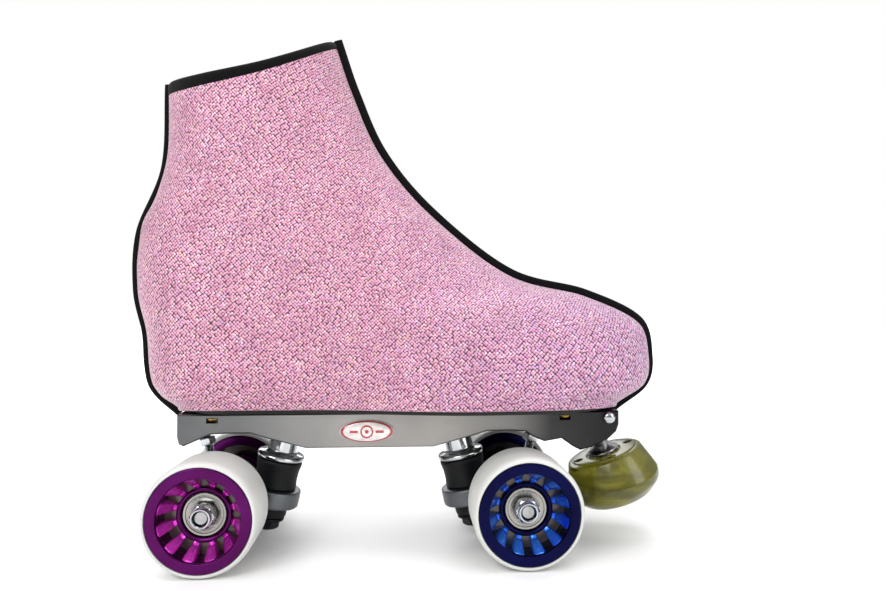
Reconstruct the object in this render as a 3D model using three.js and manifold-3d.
// A quad roller skate: a boot in a glitter cover, on a cast plate with two steering trucks,
// four wheels and a toe stop. Millimetres, +Z up, +X towards the toe, +Y to the inner side
// of the foot (this is a right skate). The origin is on the floor under the middle of the skate.
import * as THREE from "three";
import { LoftGeometry } from "three/addons/geometries/LoftGeometry.js";
import { mergeVertices } from "three/addons/utils/BufferGeometryUtils.js";
import Module from "manifold-3d";

const wasm = await Module();
wasm.setup();

// ---------------------------------------------------------------- driving sizes, millimetres
const GAP = 0.3; // between pieces that touch on the real skate
const ROUND = 20; // sides of a turned piece
const SMALL_ROUND = 16;
const PIN_ROUND = 12;
const TYRE_SIDES = 32; // sides of a tyre; one flat side faces the floor

// Wheels and their bearings
const WHEEL_DIAMETER = 57;
const WHEEL_WIDTH = 31;
const TRACK = 85; // between the middles of the two wheels of a truck
const TYRE_LIP = 2.9; // tyre beyond the hub flange
const TYRE_CHAMFER_IN = 1.32; // bevel of the tyre's edges, along the radius
const TYRE_CHAMFER_ACROSS = 2.66; // and along the axle
const TYRE_INSET = 0.2; // tyre's face behind the hub's
const HUB_FLANGE = 2.6; // thickness of the flange on each face of the hub
const HUB_GROOVE = 3.2; // depth of the groove that the tyre is cast into
const HUB_RING = 5.4; // width of the flat ring on the hub's face
const HUB_RIM = 2.4; // thickness of the hub under the tyre
const HUB_SLOTS = 12;
const SLOT_WIDTH = 4.4;
const SLOT_FLOOR = 2; // floor of the slots, outside the wheel's middle
const SLOT_MARGIN = 0.6; // web left at both ends of a slot
const FLOOR_THICKNESS = 1.5;
const BEARING_DIAMETER = 22;
const BEARING_WIDTH = 7;
const BEARING_SPREAD = 3.5; // between the two bearings of a wheel
const BEARING_RECESS = 11.8; // from the wheel's outer face to its outer bearing
const HOUSING_WALL = 2.5;
const HOUSING_LIP = 0.6; // housing beyond the outer bearing
const AXLE_DIAMETER = 7;
const AXLE_NUT_ACROSS = 11;
const AXLE_NUT_HEIGHT = 7.5;
const AXLE_NUT_HEX_SHARE = 0.62; // hexagon's share of that height, below the round collar
const AXLE_NUT_COLLAR = 10.2; // diameter
const AXLE_END_BELOW_NUT = 1.8;

// Plate
const WHEELBASE = 162;
const FRONT_AXLE_X = 65.2;
const PLATE_WIDTH = 44;
const PLATE_ABOVE_AXLE = 46.1; // top of the plate
const PLATE_WALL = 4.5;
const DECK_THICKNESS = 4.5;
const WEB_DEPTH = 18.7; // plate between the trucks, from its top to its lower edge
const ARCH_DEPTH = 10.4; // plate over the wheels
const TAIL_OVERHANG = 21.8; // plate behind the rear axle
const NOSE_OVERHANG = 56.8; // plate ahead of the front axle
const PLATE_EDGE = 0.8; // bevel of the plate's outline
const MIDDLE_POCKET_INBOARD = 46.3; // pocket between the trucks, from each axle
const AXLE_POCKET_OUTBOARD = 3; // pocket over each axle, from the axle
const AXLE_POCKET_FROM_RING = 5; // and from the middle of the hanger ring
const BADGE_LENGTH = 29.5;
const BADGE_HEIGHT = 11.8;
const BADGE_THICKNESS = 1.6;
const BADGE_EDGE = 0.6; // bevel round the badge
const BADGE_BEHIND_MIDDLE = 1.6;
const BADGE_BELOW_TOP = 9.7;

// Trucks: places are inboard of the axle (towards the middle of the skate), above or below it
const KINGPIN_INBOARD = 24.8; // middle of the hanger ring
const RING_BELOW_AXLE = 2.4;
const KINGPIN_TILT = THREE.MathUtils.degToRad(12.5);
const KINGPIN_DIAMETER = 9.2;
const RING_DIAMETER = 31;
const RING_HEIGHT = 9.6;
const RING_BORE = 15.4; // wide, so that the hanger rocks on its cushions
const UPPER_CUSHION_HEIGHT = 15.6;
const UPPER_CUSHION_TOP = 25.6;
const UPPER_CUSHION_FOOT = 24.4;
const UPPER_CUSHION_WAIST = 23.4;
const LOWER_CUSHION_HEIGHT = 6.4;
const LOWER_CUSHION_DIAMETER = 20;
const CUP_FLANGE_DIAMETER = 26.8;
const CUP_FLANGE_HEIGHT = 3.7;
const CUP_FLANGE_EDGE = 2.4; // height of the flange's upright edge
const CUP_FLANGE_BEVEL = 2; // width of the bevel above that edge
const CUP_BARREL_DIAMETER = 16;
const CUP_BARREL_HEIGHT = 13;
const WASHER_DIAMETER = 19;
const WASHER_THICKNESS = 1.5;
const KINGPIN_NUT_ACROSS = 13;
const KINGPIN_NUT_HEIGHT = 4.7;
const KINGPIN_END = 1.4; // kingpin below its nut
const KINGPIN_GRIP = 8; // kingpin above the adjuster cup, in the plate
const PIVOT_OUTBOARD = 8.5; // pivot ball
const PIVOT_ABOVE_AXLE = 15.6;
const PIVOT_TILT = THREE.MathUtils.degToRad(14);
const PIVOT_BALL = 8;
const PIVOT_PIN_DIAMETER = 5;
const PIVOT_PIN_LENGTH = 24; // from the ball's middle up into the plate
const PIVOT_NUT_ACROSS = 8;
const PIVOT_NUT_HEIGHT = 4;
const PIVOT_NUT_RISE = 10.8; // from the ball's middle to the nut
const SOCKET_DIAMETER = 15;
const SOCKET_DEPTH = 8; // below the ball's middle
const SOCKET_LIP = 2.4; // above the ball's middle
const HANGER_WEB = 16; // thickness of the arms of the hanger
const HANGER_MIDDLE = 18; // diameter of the axle housing between the arms
const HANGER_END = 13.6; // diameter of the axle housing beside the wheels
const HANGER_MIDDLE_HALF = 9; // half the length of the thick middle
const HANGER_END_START = 15; // from there outwards the housing is thin

// Toe stop
const STOP_AHEAD = 54.2; // top face of the stopper ahead of the front axle
const STOP_BELOW_TOP = 26.7; // and below the top of the plate
const STOP_TILT = THREE.MathUtils.degToRad(20);
const STOP_TOP_DIAMETER = 43.6;
const STOP_DIAMETER = 54;
const STOP_SHOULDER = 16.5; // from the top face to the widest part
const STOP_SIDE = 4.5; // length of the widest part, which narrows a little
const STOP_HEIGHT = 28;
const STOP_BEVEL = 1; // of its top face
const STOP_FOOT_DIAMETER = 36;
const STOP_HOLES = 4;
const STOP_HOLE_DIAMETER = 5;
const STOP_HOLE_DEPTH = 6;
const STOP_HOLE_CIRCLE = 31;
const STEM_DIAMETER = 10;
const STEM_RISE = 19.5; // above the top face
const STEM_DEPTH = 12; // inside the stopper
const STEM_FLANGE_DIAMETER = 19;
const STEM_FLANGE_HEIGHT = 3.2;
const CLAMP_SLIT = 1.6;
const CLAMP_SLIT_DEPTH = 30;
const CLAMP_SLIT_END = 1.6; // plate left whole above the slit
const CLAMP_SLIT_BACK = 5; // slit behind the clamp screw
const CLAMP_SCREW_DIAMETER = 3.2;
const CLAMP_SCREW_HEAD = 6.4;
const CLAMP_BEHIND_NOSE = 5.8;
const CLAMP_BELOW_TOP = 3.7;

// Mounting screws
const SCREW_DIAMETER = 4;
const SCREW_HEAD_DIAMETER = 7.4;
const SCREW_HEAD_HEIGHT = 2.2;
const SCREW_FLANGE = 2; // plate above a screw's head
const SCREW_GRIP = 5; // screw in the outsole
const SCREW_FROM_EDGE = 3; // screw's middle from the plate's side
const SCREW_OFFSETS = [-3.2, 26.4]; // ahead of the rear axle, and ahead of the front axle

// Boot and cover
const OUTSOLE_THICKNESS = 6;
const OUTSOLE_TUCK = 4; // edge of the outsole inside the boot's side
const UPPER_FLOOR = 3;
const INSOLE_THICKNESS = 4;
const COVER_THICKNESS = 1.2;
const COVER_EASE = 1.1; // between the cover and the boot
const UPPER_THICKNESS = 3;
const LINING_THICKNESS = 3.5;
const SEAM_HEIGHT = 4.5; // bound seam standing out from the cover
const SEAM_THICKNESS = 4;
const COLLAR_DIP_BACK = 14; // sides of the collar below the line from back to front seam
const COLLAR_DIP_FRONT = 17;
const DIP_POWER = 1.35; // above 1, so that the collar is level where it crosses a seam
const HEM_LIFT = 3.7; // sides of the hem above the line from back to front seam
const TOE_SWING = 5; // toe tip towards the inner side of the foot
const THROAT_WIDTH = 14; // lacing gap down the front of the upper
const THROAT_DEPTH = 12;

// ---------------------------------------------------------------- sizes that follow
const WHEEL_RADIUS = WHEEL_DIAMETER / 2;
const AXLE_Z = WHEEL_RADIUS * Math.cos(Math.PI / TYRE_SIDES); // a flat side of the tyre is at z 0
const REAR_AXLE_X = FRONT_AXLE_X - WHEELBASE;
const PLATE_TOP_Z = AXLE_Z + PLATE_ABOVE_AXLE;
const RING_Z = AXLE_Z - RING_BELOW_AXLE;
const PIVOT_Z = AXLE_Z + PIVOT_ABOVE_AXLE;
const STOP_Z = PLATE_TOP_Z - STOP_BELOW_TOP;
const PLATE_BACK_X = REAR_AXLE_X - TAIL_OVERHANG;
const PLATE_NOSE_X = FRONT_AXLE_X + NOSE_OVERHANG;
const OUTSOLE_Z = PLATE_TOP_Z + GAP;
const UPPER_Z = OUTSOLE_Z + OUTSOLE_THICKNESS + GAP;
const INSOLE_Z = UPPER_Z + UPPER_FLOOR + GAP;
const UPPER_INSET = COVER_THICKNESS + COVER_EASE;
const LINING_INSET = UPPER_INSET + UPPER_THICKNESS + GAP;

const CLAMP_X = PLATE_NOSE_X - CLAMP_BEHIND_NOSE;
const CLAMP_Z = PLATE_TOP_Z - CLAMP_BELOW_TOP;

// Distances from the middle of the skate along an axle
const WHEEL_FACE = (TRACK + WHEEL_WIDTH) / 2;
const BEARING_OUTSIDE = WHEEL_FACE - BEARING_RECESS;
const BEARING_INSIDE = BEARING_OUTSIDE - 2 * BEARING_WIDTH - BEARING_SPREAD;
const AXLE_NUT_FOOT = BEARING_OUTSIDE + 2 * GAP;
const AXLE_NUT_END = AXLE_NUT_FOOT + AXLE_NUT_HEIGHT;

// Sizes in a wheel's own frame: +Y points away from the skate, the origin is the wheel's middle
const HALF_WIDTH = WHEEL_WIDTH / 2;
const FLANGE_RADIUS = WHEEL_RADIUS - TYRE_LIP;
const GROOVE_RADIUS = FLANGE_RADIUS - HUB_GROOVE;
const BEARING_FACE = BEARING_OUTSIDE - TRACK / 2;
const BEARING_BACK = BEARING_INSIDE - TRACK / 2;

// Heights along a kingpin, from the middle of the hanger ring
const RING_TOP = RING_HEIGHT / 2;
const CUSHION_TOP = RING_TOP + GAP + UPPER_CUSHION_HEIGHT;
const FLANGE_TOP = CUSHION_TOP + GAP + CUP_FLANGE_HEIGHT;
const CUP_TOP = FLANGE_TOP + CUP_BARREL_HEIGHT;
const LOWER_CUSHION_FOOT = -RING_TOP - GAP - LOWER_CUSHION_HEIGHT;
const WASHER_FOOT = LOWER_CUSHION_FOOT - GAP - WASHER_THICKNESS;
const KINGPIN_NUT_FOOT = WASHER_FOOT - GAP - KINGPIN_NUT_HEIGHT;

// ---------------------------------------------------------------- materials
function paint(color, roughness, metalness) {
  return new THREE.MeshStandardMaterial({ color, roughness, metalness });
}

const castMetal = () => paint(0x9a9894, 0.42, 0.85);
const steel = () => paint(0xb9bbbd, 0.3, 1);
const chrome = () => paint(0xd6d8da, 0.12, 1);
const brass = () => paint(0xb59a52, 0.35, 1);
const blackUrethane = () => paint(0x101214, 0.5, 0);
const whiteUrethane = () => paint(0xdfe0dc, 0.42, 0);
const oliveUrethane = () => paint(0x8f8e3a, 0.25, 0);
const magentaHub = () => paint(0x7a1478, 0.22, 0.6);
const blueHub = () => paint(0x10207e, 0.22, 0.6);
const glitter = () => paint(0xd7a2b7, 0.5, 0.1);
const blackTape = () => paint(0x0b0b0c, 0.7, 0);
const leather = () => paint(0xece8e2, 0.6, 0);
const lining = () => paint(0xcbb9a0, 0.9, 0);
const darkSole = () => paint(0x1c1b1a, 0.7, 0);
const enamel = () => paint(0xd9d2cc, 0.2, 0);

// ---------------------------------------------------------------- solids
// A closed geometry as a manifold solid, ready to be joined or cut.
function solidFrom(geometry) {
  const bare = geometry.index ? geometry.toNonIndexed() : geometry.clone();
  bare.deleteAttribute("normal");
  bare.deleteAttribute("uv");
  const merged = mergeVertices(bare, 1e-4);
  const vertProperties = merged.attributes.position.array;
  const triVerts = new Uint32Array(merged.index.array);
  return new wasm.Manifold(new wasm.Mesh({ numProp: 3, vertProperties, triVerts }));
}

function geometryFrom(solid) {
  const { vertProperties, triVerts } = solid.getMesh();
  const geometry = new THREE.BufferGeometry();
  geometry.setAttribute("position", new THREE.BufferAttribute(vertProperties, 3));
  geometry.setIndex(new THREE.BufferAttribute(triVerts, 1));
  geometry.computeVertexNormals();
  return geometry;
}

function joined(...geometries) {
  const [first, ...rest] = geometries.map(solidFrom);
  return geometryFrom(rest.reduce((sum, next) => sum.add(next), first));
}

function cut(geometry, ...tools) {
  return geometryFrom(tools.map(solidFrom).reduce((rest, tool) => rest.subtract(tool), solidFrom(geometry)));
}

function common(geometry, other) {
  return geometryFrom(solidFrom(geometry).intersect(solidFrom(other)));
}

// A profile of [radius, height] points, turned round the Y axis. Its direction is made
// anticlockwise first, so that the faces point outwards.
function turned(profile, sides = ROUND, start = 0) {
  const points = profile.map(([radius, height]) => new THREE.Vector2(radius, height));
  if (THREE.ShapeUtils.area(points) < 0) points.reverse();
  const closed = points[0].x > 0 ? [...points, points[0]] : points;
  return new THREE.LatheGeometry(closed, sides, start);
}

// A plain cylinder from one height to another along the Y axis.
function rod(diameter, from, to, sides = ROUND) {
  const radius = diameter / 2;
  return turned([[0, from], [radius, from], [radius, to], [0, to]], sides);
}

// A ring from one height to another along the Y axis.
function ring(outer, inner, from, to, sides = ROUND) {
  return turned([[inner / 2, from], [outer / 2, from], [outer / 2, to], [inner / 2, to]], sides);
}

// A hexagonal prism from one height to another along the Y axis.
function hexagon(across, from, to) {
  return rod(across / Math.cos(Math.PI / 6), from, to, 6);
}

// An outline in X and Z, given thickness along Y and centred on the XZ plane.
function slab(outline, thickness, bevel = 0) {
  const shape = new THREE.Shape(outline.map(([x, z]) => new THREE.Vector2(x, z)));
  const geometry = new THREE.ExtrudeGeometry(shape, {
    depth: thickness - 2 * bevel,
    bevelEnabled: bevel > 0,
    bevelThickness: bevel,
    bevelSize: bevel,
    bevelOffset: -bevel,
    bevelSegments: 1,
  });
  geometry.translate(0, 0, bevel - thickness / 2);
  return geometry.rotateX(Math.PI / 2);
}

// A box between two corners.
function block(from, to) {
  const size = to.map((value, axis) => value - from[axis]);
  const middle = to.map((value, axis) => (value + from[axis]) / 2);
  return new THREE.BoxGeometry(...size).translate(...middle);
}

function node(name, geometry, material) {
  const mesh = new THREE.Mesh(geometry, material);
  mesh.name = name;
  return mesh;
}

// A frame whose own +Y runs along an axis in the XZ plane, leaning from +Z towards +X.
function leaningFrame(x, z, lean) {
  const frame = new THREE.Group();
  frame.position.set(x, 0, z);
  frame.rotation.set(Math.PI / 2, lean, 0, "YXZ");
  frame.updateMatrix();
  return frame;
}

// A geometry of such a frame, carried into the frame around it.
function carried(geometry, ...frames) {
  return frames.reduce((moved, frame) => moved.applyMatrix4(frame.matrix), geometry.clone());
}

// ---------------------------------------------------------------- the boot's shape
// Each station is a section from the back seam to the front seam. back and front are its ends
// on the side outline of the bound seams: back as x from the plate's back end, front as x from
// the plate's nose, both with a height above the plate's top. heel and ball are its half widths
// near each end; backRound and frontRound are the shares of its length that the two round ends
// take. The seams tuck in beyond the ends of the plate.
const STATIONS = [
  { back: [-7.9, -2.3], front: [8.5, -2.3], heel: 31, ball: 46, backRound: 0.13, frontRound: 0.24 },
  { back: [-16.8, 5.5], front: [26, 11.5], heel: 33, ball: 48, backRound: 0.13, frontRound: 0.24 },
  { back: [-21.6, 11.5], front: [29.4, 29.5], heel: 34.5, ball: 48.5, backRound: 0.14, frontRound: 0.26 },
  { back: [-23.9, 17.5], front: [22.5, 52], heel: 35, ball: 47.5, backRound: 0.15, frontRound: 0.34 },
  { back: [-25.4, 27.5], front: [-11, 68.5], heel: 35.5, ball: 46, backRound: 0.17, frontRound: 0.46 },
  { back: [-26.6, 43.5], front: [-56, 80.5], heel: 36, ball: 43, backRound: 0.2, frontRound: 0.5 },
  { back: [-31.7, 67.5], front: [-101, 114.5], heel: 36, ball: 40, backRound: 0.27, frontRound: 0.5 },
  { back: [-30.3, 100.5], front: [-129, 147.5], heel: 36, ball: 38, backRound: 0.36, frontRound: 0.5 },
  { back: [-16.7, 137.5], front: [-145, 182.5], heel: 39, ball: 39, backRound: 0.45, frontRound: 0.5 },
  { back: [-15, 184.4], front: [-155.4, 212.8], heel: 43, ball: 41, backRound: 0.48, frontRound: 0.5 },
];
const COLLAR = STATIONS.length - 1; // number of the top station
const BINDING_FOOT = COLLAR - 0.13; // lower edge of the collar binding
const PANEL_TOP = BINDING_FOOT - 0.035;
const UPPER_TOP = PANEL_TOP - 0.06;
const THROAT_FOOT = 5.3; // lower end of the lacing gap
const LINING_FOOT = 5.4;
const TONGUE_FOOT = 4.9;
const TONGUE_EDGE = 0.74; // on the way from the back seam to the front seam
const SEAM_MARGIN = 0.002; // half the gap between the cover panels, as a share of that way
const BEYOND = 400; // larger than the boot, for cutting tools

const smoothstep = THREE.MathUtils.smoothstep;
const lerp = THREE.MathUtils.lerp;

// A smooth curve through one field of the stations (Catmull-Rom), at a height such as 2.5.
function along(field, height) {
  const low = Math.min(Math.floor(height), COLLAR - 1);
  const t = height - low;
  const pick = (index) => field(STATIONS[THREE.MathUtils.clamp(index, 0, COLLAR)]);
  const before = low > 0 ? pick(low - 1) : 2 * pick(0) - pick(1);
  const after = low + 2 <= COLLAR ? pick(low + 2) : 2 * pick(COLLAR) - pick(COLLAR - 1);
  const [p, q] = [pick(low), pick(low + 1)];
  const slopeP = (q - before) / 2;
  const slopeQ = (after - p) / 2;
  const rise = q - p;
  return p + t * (slopeP + t * (3 * rise - 2 * slopeP - slopeQ + t * (slopeP + slopeQ - 2 * rise)));
}

// A point of the side outline, moved inwards (to the boot's middle) by an inset.
function outlinePoint(end, height, inset) {
  const plateEnd = end === "back" ? PLATE_BACK_X : PLATE_NOSE_X;
  const at = (h) => new THREE.Vector2(plateEnd + along((s) => s[end][0], h), PLATE_TOP_Z + along((s) => s[end][1], h));
  const step = 0.01;
  const tangent = at(Math.min(height + step, COLLAR)).sub(at(Math.max(height - step, 0))).normalize();
  const inwards = end === "back" ? [tangent.y, -tangent.x] : [-tangent.y, tangent.x];
  return at(height).add(new THREE.Vector2(...inwards).multiplyScalar(inset));
}

// Half width of a section at a share of the way from its back to its front.
function halfWidth(height, share) {
  const field = (name) => along((s) => s[name], height);
  const full = lerp(field("heel"), field("ball"), smoothstep(share, 0.28, 0.68));
  return full * fullness(height, share);
}

// That half width as a share of its largest: 0 at the seams, 1 between the round ends.
function fullness(height, share) {
  const field = (name) => along((s) => s[name], height);
  const rounding = (distance, length) => Math.sqrt(1 - (1 - Math.min(distance / length, 1)) ** 2);
  return rounding(share, field("backRound")) * rounding(1 - share, field("frontRound"));
}

// A point of the cover's outer surface. way runs from 0 at the back seam to 1 at the front
// seam; side is -1 on the outer side of the foot and 1 on the inner side.
function coverPoint(height, way, side) {
  const back = outlinePoint("back", height, SEAM_HEIGHT);
  const front = outlinePoint("front", height, SEAM_HEIGHT);
  const share = (1 - Math.cos(Math.PI * way)) / 2;
  const swing = TOE_SWING * smoothstep(share, 0.45, 1) * (1 - smoothstep(height, 4, 6.5));
  const full = fullness(height, share);
  const dip = lerp(COLLAR_DIP_BACK, COLLAR_DIP_FRONT, share) * full ** DIP_POWER * smoothstep(height, 6.5, COLLAR);
  const lift = HEM_LIFT * full * (1 - smoothstep(height, 0, 1));
  const spot = back.lerp(front, share);
  return new THREE.Vector3(spot.x, swing + side * halfWidth(height, share), spot.y - dip + lift);
}

// The same point moved square to the surface, in towards the foot.
function bootPoint(height, way, side, inset) {
  const step = 0.01;
  const across = (change) => coverPoint(height, THREE.MathUtils.clamp(way + change, 0, 1), side);
  const up = (change) => coverPoint(THREE.MathUtils.clamp(height + change, 0, COLLAR), way, side);
  const forward = across(step).sub(across(-step));
  const upward = up(step).sub(up(-step));
  const inwards = forward.cross(upward).multiplyScalar(side);
  if (way === 0 || way === 1) inwards.y = 0;
  return coverPoint(height, way, side).addScaledVector(inwards.normalize(), inset);
}

// Evenly spaced values from one number to another.
function spread(from, to, steps) {
  return Array.from({ length: steps + 1 }, (_, i) => lerp(from, to, i / steps));
}

// A loft through sections, each made to run anticlockwise seen from the loft's far end. A loft
// that isn't capped ends with its first section again.
function loft(sections, capped = true) {
  const [first, next] = sections;
  const area = new THREE.Vector3();
  first.forEach((point, i) => area.add(point.clone().cross(first[(i + 1) % first.length])));
  const step = next.reduce((sum, point, i) => sum.add(point).sub(first[i]), new THREE.Vector3());
  const rows = area.dot(step) > 0 ? sections : sections.map((row) => [...row].reverse());
  return new LoftGeometry(rows, { capStart: capped, capEnd: capped });
}

// Every layer of the boot uses these rows and ways, so that the layers' facets lie parallel.
const ROWS = [...spread(0, UPPER_TOP, 13), PANEL_TOP];
const WAYS = spread(0, 1, 12);
const rowsAbove = (height) => ROWS.filter((row) => row >= height);

// The closed outline of the boot at a height: along the outer side and back along the inner.
function bootOutline(height, inset) {
  const innerWays = [...WAYS].reverse().slice(1, -1);
  return [
    ...WAYS.map((way) => bootPoint(height, way, -1, inset)),
    ...innerWays.map((way) => bootPoint(height, way, 1, inset)),
  ];
}

// The whole boot as one solid, moved in by an inset.
function bootSolid(inset, rows) {
  return loft(rows.map((height) => bootOutline(height, inset)));
}

// A sheet of the boot's surface between two insets, on one side of the foot.
function sideSheet(outer, inner, rows, ways, side) {
  return loft(rows.map((height) => [
    ...ways.map((way) => bootPoint(height, way, side, outer)),
    ...[...ways].reverse().map((way) => bootPoint(height, way, side, inner)),
  ]));
}

// A sheet that wraps round the front or the back, from one side of the foot to the other.
function wrapSheet(outer, inner, rows, ways) {
  const path = [...ways.map((way) => [way, -1]), ...[...ways].reverse().slice(1).map((way) => [way, 1])];
  return loft(rows.map((height) => [
    ...path.map(([way, side]) => bootPoint(height, way, side, outer)),
    ...[...path].reverse().map(([way, side]) => bootPoint(height, way, side, inner)),
  ]));
}

// ---------------------------------------------------------------- boot and cover
function coverPanel(name, side) {
  const ways = [SEAM_MARGIN, ...WAYS.slice(1, -1), 1 - SEAM_MARGIN];
  return node(name, sideSheet(0, COVER_THICKNESS, ROWS, ways, side), glitter());
}

function coverSeam(name, end) {
  const sections = [...ROWS, COLLAR].map((height) => {
    const outer = outlinePoint(end, height, 0);
    const inner = outlinePoint(end, height, SEAM_HEIGHT - 2 * GAP);
    const middle = bootPoint(height, end === "front" ? 1 : 0, 1, 0).y;
    const corner = (point, side) => new THREE.Vector3(point.x, middle + (side * SEAM_THICKNESS) / 2, point.y);
    return [corner(outer, -1), corner(outer, 1), corner(inner, 1), corner(inner, -1)];
  });
  return node(name, loft(sections), blackTape());
}

function collarBinding() {
  const inner = LINING_INSET + LINING_THICKNESS;
  const corners = [[BINDING_FOOT, 0], [COLLAR, 0], [COLLAR, inner], [BINDING_FOOT, inner]];
  const edges = corners.map(([height, inset]) => bootOutline(height, inset));
  const sections = edges[0].map((_, i) => edges.map((edge) => edge[i]));
  return node("cover_collar_binding", loft([...sections, sections[0]], false), blackTape());
}

function bootUpper() {
  const outer = bootSolid(UPPER_INSET, ROWS.slice(0, -1));
  const inner = bootSolid(UPPER_INSET + UPPER_THICKNESS, [...ROWS, COLLAR]);
  const above = (z) => block([-BEYOND, -BEYOND, z], [BEYOND, BEYOND, BEYOND]);
  const room = common(inner, above(UPPER_Z + UPPER_FLOOR));
  return node("boot_upper", cut(common(outer, above(UPPER_Z)), room, throatTool()), leather());
}

// The wedge that opens the front of the upper for the laces.
function throatTool() {
  const rows = spread(THROAT_FOOT, COLLAR, 6);
  const outside = rows.map((height) => outlinePoint("front", height, 0).toArray());
  const inside = rows.map((height) => outlinePoint("front", height, SEAM_HEIGHT + THROAT_DEPTH).toArray());
  return slab([...outside, ...inside.reverse()], THROAT_WIDTH);
}

function bootLining() {
  const ways = WAYS.filter((way) => way < TONGUE_EDGE).reverse();
  const inner = LINING_INSET + LINING_THICKNESS;
  return node("boot_lining", wrapSheet(LINING_INSET, inner, rowsAbove(LINING_FOOT), ways), lining());
}

function tongue() {
  const ways = [TONGUE_EDGE, ...WAYS.filter((way) => way > TONGUE_EDGE + 0.02)];
  const inner = LINING_INSET + LINING_THICKNESS;
  return node("tongue", wrapSheet(LINING_INSET, inner, rowsAbove(TONGUE_FOOT), ways), leather());
}

// A flat sole piece: the boot's outline at the hem, moved in, between two heights.
function soleGeometry(inset, from, to) {
  const at = (z) => bootOutline(0, inset).map((point) => new THREE.Vector3(point.x, point.y, z));
  return loft([at(from), at(to)]);
}

function outsole() {
  const body = soleGeometry(UPPER_INSET + OUTSOLE_TUCK, OUTSOLE_Z, OUTSOLE_Z + OUTSOLE_THICKNESS);
  const holes = screwPlaces().map(([x, y]) =>
    rod(SCREW_DIAMETER + 2 * GAP, 0, SCREW_GRIP + GAP, 12).rotateX(Math.PI / 2).translate(x, y, OUTSOLE_Z - 0.01));
  return node("outsole", cut(body, ...holes), darkSole());
}

function insole() {
  const inset = UPPER_INSET + UPPER_THICKNESS + GAP;
  return node("insole", soleGeometry(inset, INSOLE_Z, INSOLE_Z + INSOLE_THICKNESS), lining());
}

// ---------------------------------------------------------------- plate
// Lower edge of the plate beside one truck, from the axle inboards.
function archEdge(axleX, inboard) {
  const arch = PLATE_TOP_Z - ARCH_DEPTH;
  const slope = PLATE_TOP_Z - lerp(ARCH_DEPTH, WEB_DEPTH, 0.35);
  const offsets = [[-4.2, arch - 0.5], [4, arch], [16.9, arch - 0.1], [26, slope], [46.5, PLATE_TOP_Z - WEB_DEPTH]];
  return offsets.map(([offset, z]) => [axleX + inboard * offset, z]);
}

// The side of the plate: a tail behind the rear truck, an arch over each wheel, a deeper web
// between them, and a snout that holds the toe stop. Depths are below the plate's top.
function plateOutline() {
  const tail = [[0, 0], [0, 12], [1, 15.9], [3.4, 17]].map(([x, depth]) => [PLATE_BACK_X + x, PLATE_TOP_Z - depth]);
  const snout = [[8.2, 13.7], [14.9, 16.5], [24.5, 14.9], [30.3, 19.1], [35.1, 21.6], [41.4, 19.8]];
  const nose = [[6.5, 15.9], [1.5, 11.5], [0, 7.5], [0, 0]];
  return [
    ...tail,
    ...archEdge(REAR_AXLE_X, 1),
    ...archEdge(FRONT_AXLE_X, -1).reverse(),
    ...snout.map(([x, depth]) => [FRONT_AXLE_X + x, PLATE_TOP_Z - depth]),
    ...nose.map(([x, depth]) => [PLATE_NOSE_X - x, PLATE_TOP_Z - depth]),
  ];
}

// Middles of the four mounting screws.
function screwPlaces() {
  const y = PLATE_WIDTH / 2 - SCREW_FROM_EDGE;
  const [rear, front] = [REAR_AXLE_X + SCREW_OFFSETS[0], FRONT_AXLE_X + SCREW_OFFSETS[1]];
  return [[rear, -y], [rear, y], [front, -y], [front, y]];
}

// Pockets under the deck: between the trucks, and over each axle.
function platePockets() {
  const y = PLATE_WIDTH / 2 - PLATE_WALL;
  const top = PLATE_TOP_Z - DECK_THICKNESS;
  const pocket = (from, to) => block([from, -y, 0], [to, y, top]);
  const inboard = KINGPIN_INBOARD - AXLE_POCKET_FROM_RING;
  return [
    pocket(REAR_AXLE_X + MIDDLE_POCKET_INBOARD, FRONT_AXLE_X - MIDDLE_POCKET_INBOARD),
    pocket(REAR_AXLE_X - AXLE_POCKET_OUTBOARD, REAR_AXLE_X + inboard),
    pocket(FRONT_AXLE_X - inboard, FRONT_AXLE_X + AXLE_POCKET_OUTBOARD),
  ];
}

// Scallop and hole of each mounting screw.
function screwTools() {
  const headTop = PLATE_TOP_Z - SCREW_FLANGE;
  const scallop = SCREW_HEAD_HEIGHT + 2 * GAP;
  return screwPlaces().flatMap(([x, y]) => [
    rod(SCREW_HEAD_DIAMETER + 4 * GAP, -scallop, 0, 16).rotateX(Math.PI / 2).translate(x, y, headTop),
    rod(SCREW_DIAMETER + 2 * GAP, -1, SCREW_FLANGE + 1, 12).rotateX(Math.PI / 2).translate(x, y, headTop),
  ]);
}

// Holes for the kingpin, its adjuster cup and the pivot pin of one truck.
function truckTools(truck) {
  const cupTop = CUP_TOP;
  const bore = KINGPIN_DIAMETER + 2 * GAP;
  const cup = CUP_BARREL_DIAMETER + 2 * GAP;
  const pin = PIVOT_PIN_DIAMETER + 2 * GAP;
  return [
    carried(rod(bore, 0, cupTop + KINGPIN_GRIP + GAP), truck.userData.kingpinFrame, truck),
    carried(rod(cup, 0, cupTop + GAP), truck.userData.kingpinFrame, truck),
    carried(rod(pin, 0, PIVOT_PIN_LENGTH + GAP, PIN_ROUND), truck.userData.pivotFrame, truck),
  ];
}

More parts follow.
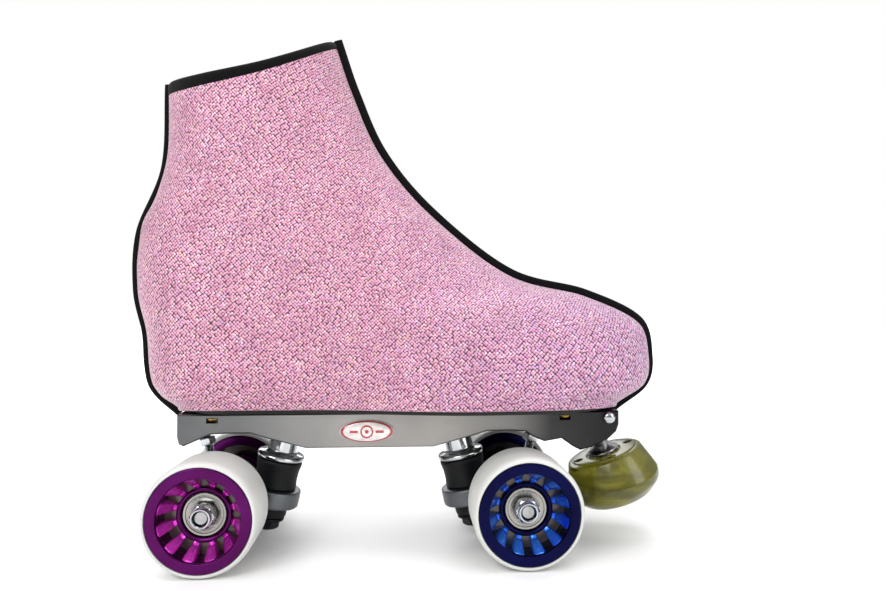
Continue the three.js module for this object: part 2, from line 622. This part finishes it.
// The hole for the toe stop's stem, with the slit and the screw that clamp it.
function clampTools() {
  const half = CLAMP_SLIT / 2;
  const slitFoot = PLATE_TOP_Z - CLAMP_SLIT_DEPTH;
  const slitTop = PLATE_TOP_Z - CLAMP_SLIT_END;
  const stem = carried(rod(STEM_DIAMETER + 2 * GAP, -5, STEM_RISE + 1), stopFrame);
  const slit = block([CLAMP_X - CLAMP_SLIT_BACK, -half, slitFoot], [PLATE_NOSE_X + 1, half, slitTop]);
  const screw = rod(CLAMP_SCREW_DIAMETER + 2 * GAP, -PLATE_WIDTH, PLATE_WIDTH, PIN_ROUND).translate(CLAMP_X, 0, CLAMP_Z);
  return [stem, slit, screw];
}

function basePlate(trucks) {
  const body = slab(plateOutline(), PLATE_WIDTH, PLATE_EDGE);
  const tools = [...platePockets(), ...screwTools(), ...trucks.flatMap(truckTools), ...clampTools()];
  return node("base_plate", cut(body, ...tools), castMetal());
}

function badge() {
  const shape = new THREE.Shape();
  shape.absellipse(0, 0, BADGE_LENGTH / 2 - BADGE_EDGE, BADGE_HEIGHT / 2 - BADGE_EDGE, 0, 2 * Math.PI);
  const geometry = new THREE.ExtrudeGeometry(shape, {
    depth: BADGE_THICKNESS - BADGE_EDGE,
    bevelThickness: BADGE_EDGE,
    bevelSize: BADGE_EDGE,
    bevelSegments: 1,
    curveSegments: 12,
  });
  const mesh = node("plate_badge", geometry.translate(0, 0, BADGE_EDGE), enamel());
  mesh.rotation.x = Math.PI / 2;
  const middle = (FRONT_AXLE_X + REAR_AXLE_X) / 2;
  mesh.position.set(middle - BADGE_BEHIND_MIDDLE, -PLATE_WIDTH / 2 - GAP, PLATE_TOP_Z - BADGE_BELOW_TOP);
  return mesh;
}

function mountingScrew(name, [x, y]) {
  const radius = SCREW_DIAMETER / 2;
  const head = SCREW_HEAD_DIAMETER / 2;
  const top = SCREW_FLANGE + GAP + SCREW_GRIP;
  const profile = [
    [0, -SCREW_HEAD_HEIGHT], [head * 0.6, -SCREW_HEAD_HEIGHT * 0.85], [head, -SCREW_HEAD_HEIGHT * 0.3],
    [head, 0], [radius, 0], [radius, top], [0, top],
  ];
  const mesh = node(name, turned(profile, PIN_ROUND), brass());
  mesh.rotation.x = Math.PI / 2;
  mesh.position.set(x, y, PLATE_TOP_Z - SCREW_FLANGE - GAP);
  return mesh;
}

function clampScrew() {
  const half = PLATE_WIDTH / 2;
  const head = CLAMP_SCREW_HEAD / 2;
  const radius = CLAMP_SCREW_DIAMETER / 2;
  const profile = [
    [0, -half], [radius, -half], [radius, half + GAP], [head, half + GAP],
    [head, half + 1.4], [head * 0.6, half + 2.5], [0, half + 2.8],
  ];
  const mesh = node("toe_stop_clamp_screw", turned(profile, PIN_ROUND), chrome());
  mesh.position.set(CLAMP_X, 0, CLAMP_Z);
  mesh.rotation.z = Math.PI;
  return mesh;
}

// ---------------------------------------------------------------- trucks
function kingpin(prefix) {
  const top = CUP_TOP + KINGPIN_GRIP;
  return node(prefix + "_kingpin", rod(KINGPIN_DIAMETER, KINGPIN_NUT_FOOT - KINGPIN_END, top, SMALL_ROUND), steel());
}

function adjusterCup(prefix) {
  const bore = KINGPIN_DIAMETER / 2 + GAP;
  const flange = CUP_FLANGE_DIAMETER / 2;
  const barrel = CUP_BARREL_DIAMETER / 2;
  const foot = CUSHION_TOP + GAP;
  const profile = [
    [bore, foot], [flange, foot], [flange, foot + CUP_FLANGE_EDGE], [flange - CUP_FLANGE_BEVEL, FLANGE_TOP],
    [barrel, FLANGE_TOP], [barrel, CUP_TOP], [bore, CUP_TOP],
  ];
  return node(prefix + "_adjuster_cup", turned(profile), chrome());
}

function upperCushion(prefix) {
  const bore = KINGPIN_DIAMETER / 2 + GAP;
  const foot = RING_TOP + GAP;
    const profile = [
    [bore, foot], [UPPER_CUSHION_FOOT / 2, foot], [UPPER_CUSHION_WAIST / 2, foot + UPPER_CUSHION_HEIGHT * 0.35],
    [UPPER_CUSHION_TOP / 2, CUSHION_TOP], [bore, CUSHION_TOP],
  ];
  return node(prefix + "_upper_cushion", turned(profile, SMALL_ROUND), blackUrethane());
}

function lowerCushion(prefix) {
  const bore = KINGPIN_DIAMETER + 2 * GAP;
  const foot = LOWER_CUSHION_FOOT;
  const geometry = ring(LOWER_CUSHION_DIAMETER, bore, foot, foot + LOWER_CUSHION_HEIGHT, SMALL_ROUND);
  return node(prefix + "_lower_cushion", geometry, blackUrethane());
}

function lowerWasher(prefix) {
  const bore = KINGPIN_DIAMETER + 2 * GAP;
  const foot = WASHER_FOOT;
  return node(prefix + "_lower_washer", ring(WASHER_DIAMETER, bore, foot, foot + WASHER_THICKNESS, SMALL_ROUND), steel());
}

function kingpinNut(prefix) {
  const bore = KINGPIN_DIAMETER + 2 * GAP;
  const foot = KINGPIN_NUT_FOOT;
  const body = hexagon(KINGPIN_NUT_ACROSS, foot, foot + KINGPIN_NUT_HEIGHT);
  return node(prefix + "_kingpin_nut", cut(body, rod(bore, foot - 1, foot + KINGPIN_NUT_HEIGHT + 1, SMALL_ROUND)), steel());
}

function pivotPin(prefix) {
  const ball = PIVOT_BALL / 2;
  const pin = PIVOT_PIN_DIAMETER / 2;
  const neck = Math.acos(pin / ball);
  const angles = spread(-Math.PI / 2, neck, 6);
  const sphere = angles.map((angle) => [Math.max(0, ball * Math.cos(angle)), ball * Math.sin(angle)]);
  sphere[0][0] = 0;
  const profile = [...sphere, [pin, PIVOT_PIN_LENGTH], [0, PIVOT_PIN_LENGTH]];
  return node(prefix + "_pivot_pin", turned(profile, PIN_ROUND), steel());
}

function pivotLocknut(prefix) {
  const top = PIVOT_NUT_RISE + PIVOT_NUT_HEIGHT;
  const body = hexagon(PIVOT_NUT_ACROSS, PIVOT_NUT_RISE, top);
  const bore = rod(PIVOT_PIN_DIAMETER + 2 * GAP, PIVOT_NUT_RISE - 1, top + 1, PIN_ROUND);
  return node(prefix + "_pivot_locknut", cut(body, bore), chrome());
}

// The steering part: an axle housing with one arm to the ring and one to the pivot socket.
function hanger(prefix, kingpinFrame, pivotFrame) {
  const middle = HANGER_MIDDLE / 2;
  const end = HANGER_END / 2;
  const reach = BEARING_INSIDE - GAP;
  const [thick, thin] = [HANGER_MIDDLE_HALF, HANGER_END_START];
  const housing = turned([[0, -reach], [end, -reach], [end, -thin], [middle, -thick], [middle, thick], [end, thin],
    [end, reach], [0, reach]]).translate(0, 0, AXLE_Z);
  const ringBody = carried(rod(RING_DIAMETER, -RING_TOP, RING_TOP, 24), kingpinFrame);
  const socketBody = carried(rod(SOCKET_DIAMETER, -SOCKET_DEPTH, SOCKET_LIP), pivotFrame);
  const ringArm = slab([[-4, AXLE_Z + 8], [-4, AXLE_Z - 8], [13, RING_Z - 2], [13, RING_Z + 6.5]], HANGER_WEB);
  const pivotArm = slab([[6, AXLE_Z], [4.5, AXLE_Z + 7], [-2, PIVOT_Z - 3], [-11, PIVOT_Z - 6], [-9, AXLE_Z + 3],
    [-6, AXLE_Z]], HANGER_WEB - 4);
  const body = joined(housing, ringBody, socketBody, ringArm, pivotArm);
  const ringHole = carried(rod(RING_BORE, -RING_HEIGHT, RING_HEIGHT), kingpinFrame);
  const axleHole = rod(AXLE_DIAMETER + 2 * GAP, -TRACK, TRACK, SMALL_ROUND).translate(0, 0, AXLE_Z);
  const cupRadius = PIVOT_BALL / 2 + 2 * GAP;
  const socketHole = carried(turned([[0, -cupRadius], [cupRadius * 0.72, -cupRadius * 0.7], [cupRadius, 0],
    [cupRadius + 0.8, SOCKET_LIP + 1], [0, SOCKET_LIP + 1]], SMALL_ROUND), pivotFrame);
  return node(prefix + "_truck_hanger", cut(body, ringHole, axleHole, socketHole), castMetal());
}

function axle(prefix) {
  const half = AXLE_NUT_END - AXLE_END_BELOW_NUT;
  const mesh = node(prefix + "_axle", rod(AXLE_DIAMETER, -half, half, SMALL_ROUND), steel());
  mesh.position.z = AXLE_Z;
  return mesh;
}

// ---------------------------------------------------------------- wheels
function tyre(name) {
  const lip = FLANGE_RADIUS + GAP;
  const shelf = HALF_WIDTH - HUB_FLANGE - GAP;
  const groove = GROOVE_RADIUS + GAP;
  const face = HALF_WIDTH - TYRE_INSET;
  const shoulder = HALF_WIDTH - TYRE_INSET - TYRE_CHAMFER_ACROSS;
  const half = [
    [groove, shelf], [lip, shelf], [lip, face],
    [WHEEL_RADIUS - TYRE_CHAMFER_IN, face], [WHEEL_RADIUS, shoulder],
  ];
  const other = half.map(([radius, height]) => [radius, -height]).reverse();
  return node(name, turned([...half, ...other], TYRE_SIDES, Math.PI / TYRE_SIDES), whiteUrethane());
}

function hub(name, material) {
  const bore = BEARING_DIAMETER / 2 + GAP;
  const housing = bore + HOUSING_WALL;
  const ringInside = FLANGE_RADIUS - HUB_RING;
  const rim = GROOVE_RADIUS - HUB_RIM;
  const face = HALF_WIDTH;
  const profile = [
    [bore, BEARING_FACE + HOUSING_LIP], [housing, BEARING_FACE + HOUSING_LIP], [ringInside, face], [FLANGE_RADIUS, face],
    [FLANGE_RADIUS, face - HUB_FLANGE], [GROOVE_RADIUS, face - HUB_FLANGE],
    [GROOVE_RADIUS, HUB_FLANGE - face], [FLANGE_RADIUS, HUB_FLANGE - face], [FLANGE_RADIUS, -face],
    [rim, -face], [rim, SLOT_FLOOR - FLOOR_THICKNESS], [housing, SLOT_FLOOR - FLOOR_THICKNESS],
    [housing, BEARING_BACK], [bore, BEARING_BACK],
  ];
  const body = turned(profile);
  const from = [housing + SLOT_MARGIN, SLOT_FLOOR, -SLOT_WIDTH / 2];
  const slot = block(from, [rim - SLOT_MARGIN, WHEEL_WIDTH, SLOT_WIDTH / 2]);
  const slots = spread(0, 2 * Math.PI, HUB_SLOTS).slice(1).map((angle) => slot.clone().rotateY(angle));
  return node(name, cut(body, ...slots), material);
}

function bearing(name, from) {
  return node(name, ring(BEARING_DIAMETER, AXLE_DIAMETER + 2 * GAP, from, from + BEARING_WIDTH, SMALL_ROUND), steel());
}

function wheel(prefix, hubMaterial) {
  const group = new THREE.Group();
  group.add(
    tyre(prefix + "_tyre"),
    hub(prefix + "_hub", hubMaterial),
    bearing(prefix + "_outer_bearing", BEARING_FACE - BEARING_WIDTH),
    bearing(prefix + "_inner_bearing", BEARING_BACK),
  );
  return group;
}

function axleNut(name) {
  const hexTop = AXLE_NUT_FOOT + AXLE_NUT_HEIGHT * AXLE_NUT_HEX_SHARE;
  const collar = rod(AXLE_NUT_COLLAR, AXLE_NUT_FOOT, AXLE_NUT_END, SMALL_ROUND);
  const body = joined(hexagon(AXLE_NUT_ACROSS, AXLE_NUT_FOOT, hexTop), collar);
  const bore = rod(AXLE_DIAMETER + 2 * GAP, AXLE_NUT_FOOT - 1, AXLE_NUT_END + 1, SMALL_ROUND);
  return node(name, cut(body, bore), chrome());
}

// One truck in its own frame: the origin is on the floor under its axle, +X points inboards.
function truck(end, hubMaterial) {
  const inboard = end === "rear" ? 1 : -1;
  const group = new THREE.Group();
  const kingpinFrame = leaningFrame(KINGPIN_INBOARD, RING_Z, KINGPIN_TILT);
  const pivotFrame = leaningFrame(-PIVOT_OUTBOARD, PIVOT_Z, -PIVOT_TILT);
  for (const piece of [kingpin, adjusterCup, upperCushion, lowerCushion, lowerWasher, kingpinNut]) {
    kingpinFrame.add(piece(end));
  }
  pivotFrame.add(pivotPin(end), pivotLocknut(end));
  group.add(kingpinFrame, pivotFrame, hanger(end, kingpinFrame, pivotFrame), axle(end));
  for (const [sideName, side] of [["right", -1], ["left", 1]]) {
    const wheelGroup = wheel(end + "_" + sideName, hubMaterial());
    const nut = axleNut(end + "_" + sideName + "_axle_nut");
    const outward = side * inboard;
    wheelGroup.position.set(0, (outward * TRACK) / 2, AXLE_Z);
    nut.position.z = AXLE_Z;
    wheelGroup.rotation.z = outward > 0 ? 0 : Math.PI;
    nut.rotation.z = wheelGroup.rotation.z;
    group.add(wheelGroup, nut);
  }
  group.position.x = end === "rear" ? REAR_AXLE_X : FRONT_AXLE_X;
  group.rotation.z = end === "rear" ? 0 : Math.PI;
  group.updateMatrix();
  group.userData = { kingpinFrame, pivotFrame };
  return group;
}

// ---------------------------------------------------------------- toe stop
// The stopper's frame: its origin is the middle of the top face, +Y runs up the stem.
const stopFrame = leaningFrame(FRONT_AXLE_X + STOP_AHEAD, STOP_Z, -STOP_TILT);

function toeStop() {
  const [top, widest, foot] = [STOP_TOP_DIAMETER / 2, STOP_DIAMETER / 2, STOP_FOOT_DIAMETER / 2];
  const stem = STEM_DIAMETER / 2 + GAP;
  const profile = [
    [0, -STEM_DEPTH - GAP], [stem, -STEM_DEPTH - GAP], [stem, 0], [top - STOP_BEVEL, 0], [top, -STOP_BEVEL],
    [widest, -STOP_SHOULDER], [widest - STOP_BEVEL, -STOP_SHOULDER - STOP_SIDE],
    [foot + 2 * STOP_BEVEL, -STOP_HEIGHT + STOP_BEVEL], [foot, -STOP_HEIGHT], [0, -STOP_HEIGHT],
  ];
  const body = turned(profile, 28);
  const hole = rod(STOP_HOLE_DIAMETER, -STOP_HOLE_DEPTH, 1, 8).translate(STOP_HOLE_CIRCLE / 2, 0, 0);
  const holes = spread(0, 2 * Math.PI, STOP_HOLES).slice(1).map((angle) => hole.clone().rotateY(angle));
  return node("toe_stop", cut(body, ...holes), oliveUrethane());
}

function toeStopStem() {
  const [stem, flange] = [STEM_DIAMETER / 2, STEM_FLANGE_DIAMETER / 2];
  const top = GAP + STEM_FLANGE_HEIGHT;
  const profile = [
    [0, -STEM_DEPTH], [stem, -STEM_DEPTH], [stem, GAP], [flange, GAP], [flange, GAP + 1.2],
    [stem + 1.6, top], [stem, top], [stem, STEM_RISE], [0, STEM_RISE],
  ];
  return node("toe_stop_stem", turned(profile), steel());
}

// ---------------------------------------------------------------- the skate
const skate = new THREE.Group();
const rearTruck = truck("rear", magentaHub);
const frontTruck = truck("front", blueHub);
stopFrame.add(toeStop(), toeStopStem());
skate.add(basePlate([rearTruck, frontTruck]), badge(), clampScrew(), rearTruck, frontTruck, stopFrame);
["rear_right", "rear_left", "front_right", "front_left"].forEach((place, index) => {
  skate.add(mountingScrew("mounting_screw_" + place, screwPlaces()[index]));
});
skate.add(outsole(), insole(), bootUpper(), bootLining(), tongue());
skate.add(coverPanel("cover_panel_right", -1), coverPanel("cover_panel_left", 1));
skate.add(coverSeam("cover_front_seam", "front"), coverSeam("cover_back_seam", "back"), collarBinding());

export default skate;
